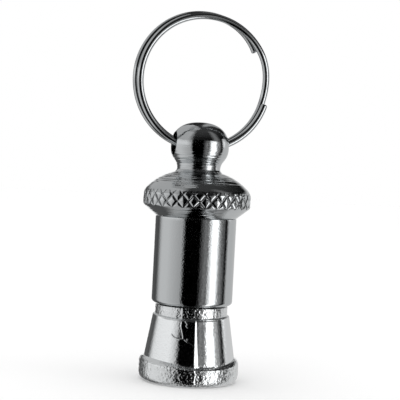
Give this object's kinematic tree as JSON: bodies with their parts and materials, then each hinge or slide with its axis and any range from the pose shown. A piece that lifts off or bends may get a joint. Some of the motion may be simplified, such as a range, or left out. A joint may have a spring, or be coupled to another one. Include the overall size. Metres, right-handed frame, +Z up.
{
  "type": "address capsule keychain",
  "caption": "Screw-top metal capsule for a rolled paper slip, with a knurled turned head, a hollow threaded base and a split ring through a cross-drilled ball.",
  "frame": {"origin": "middle of the foot's flat underside", "axes": "+Z up the capsule's axis, +X along the ball's cross hole, the split ring upright in the XZ plane"},
  "size_m": [0.0208, 0.0158, 0.0547],
  "materials": {
    "turned_plate": "bright plating on turned metal",
    "cast_plate": "bright plating on a rough die casting",
    "spring_wire": "bright plating on spring steel wire",
    "seal_rubber": "black, matt",
    "slip_paper": "blank white paper"
  },
  "bodies": {
    "base_unit": {"base": "cast_plate", "seal_ring": "seal_rubber"},
    "slip": {"address_slip": "slip_paper"},
    "capsule": {"barrel": "turned_plate", "head": "turned_plate"},
    "ring": {"split_ring": "spring_wire"}
  },
  "joints": [
    {"name": "capsule_lift", "type": "slide", "parent": "base_unit", "child": "slip", "axis": [0, 0, 1], "range_m": [0, 0.005]},
    {"name": "capsule_turn", "type": "hinge", "parent": "slip", "child": "capsule", "pos_m": [0, 0, 0], "axis": [0, 0, 1], "range_deg": [0, 1800]},
    {"name": "ring_swing", "type": "hinge", "parent": "capsule", "child": "ring", "pos_m": [0, 0, 0.03497], "axis": [1, 0, 0], "range_deg": [-155, 155]}
  ],
  "couplings": [
    {"joint": "capsule_turn", "follows": "capsule_lift", "rad_per_m": 6283.2}
  ]
}
